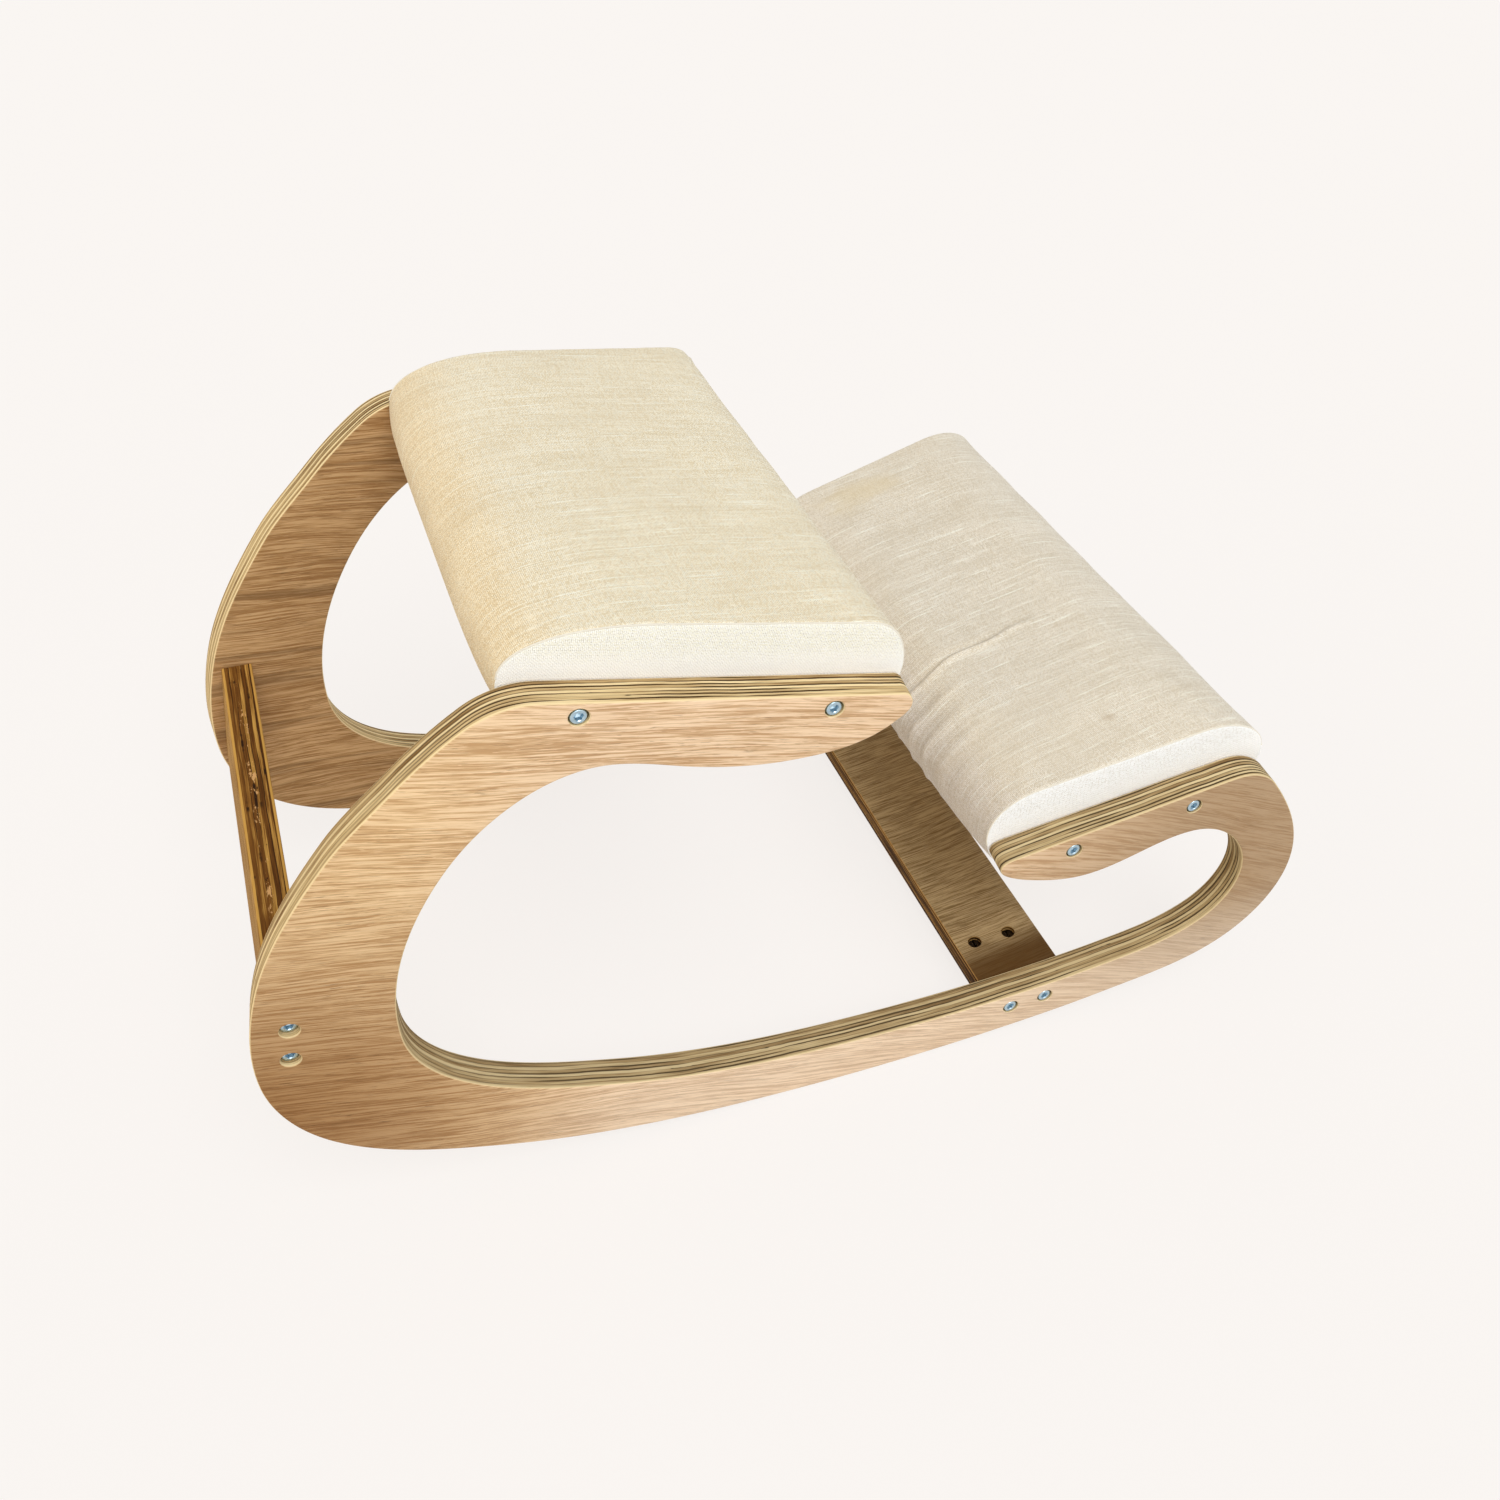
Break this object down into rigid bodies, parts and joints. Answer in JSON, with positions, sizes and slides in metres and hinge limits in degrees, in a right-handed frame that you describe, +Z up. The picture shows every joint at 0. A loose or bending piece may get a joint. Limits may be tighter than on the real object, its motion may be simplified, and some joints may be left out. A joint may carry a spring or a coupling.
{
  "type": "kneeling chair",
  "caption": "Rocking kneeling chair with C-shaped plywood side frames, a padded seat and a padded knee rest, tied by a crossbar and a rear rail.",
  "frame": {"origin": "on the floor under the middle of the chair's bounding box", "axes": "+Z up, the sitter faces -Y, +X is the sitter's left"},
  "size_m": [0.4808, 0.7184, 0.4378],
  "materials": {
    "side_frame": "clear-lacquered oak-faced plywood, curved edges showing the plies",
    "board": "plywood, unfinished, hidden under the pads",
    "cross_member": "lacquered plywood with walnut-brown faces and bare plies at the edges",
    "seat_cover": "cream slub linen, drawn tight",
    "knee_cover": "beige slub linen, drawn tight, lightly wrinkled",
    "foam": "firm upholstery foam",
    "screw": "bright zinc-plated steel cap screw",
    "nut": "bright zinc-plated steel barrel nut"
  },
  "bodies": {
    "root": {"side_frame_left": "side_frame", "side_frame_right": "side_frame", "seat_board": "board", "seat_foam": "foam", "seat_cover": "seat_cover", "knee_board": "board", "knee_foam": "foam", "knee_cover": "knee_cover", "crossbar": "cross_member", "rear_rail": "cross_member", "seat_screw_front_left": "screw", "seat_nut_front_left": "nut", "seat_screw_front_right": "screw", "seat_nut_front_right": "nut", "seat_screw_rear_left": "screw", "seat_nut_rear_left": "nut", "seat_screw_rear_right": "screw", "seat_nut_rear_right": "nut", "knee_screw_front_left": "screw", "knee_nut_front_left": "nut", "knee_screw_front_right": "screw", "knee_nut_front_right": "nut", "knee_screw_rear_left": "screw", "knee_nut_rear_left": "nut", "knee_screw_rear_right": "screw", "knee_nut_rear_right": "nut", "crossbar_screw_front_left": "screw", "crossbar_nut_front_left": "nut", "crossbar_screw_front_right": "screw", "crossbar_nut_front_right": "nut", "crossbar_screw_rear_left": "screw", "crossbar_nut_rear_left": "nut", "crossbar_screw_rear_right": "screw", "crossbar_nut_rear_right": "nut", "rear_rail_screw_lower_left": "screw", "rear_rail_nut_lower_left": "nut", "rear_rail_screw_lower_right": "screw", "rear_rail_nut_lower_right": "nut", "rear_rail_screw_upper_left": "screw", "rear_rail_nut_upper_left": "nut", "rear_rail_screw_upper_right": "screw", "rear_rail_nut_upper_right": "nut"}
  },
  "joints": []
}
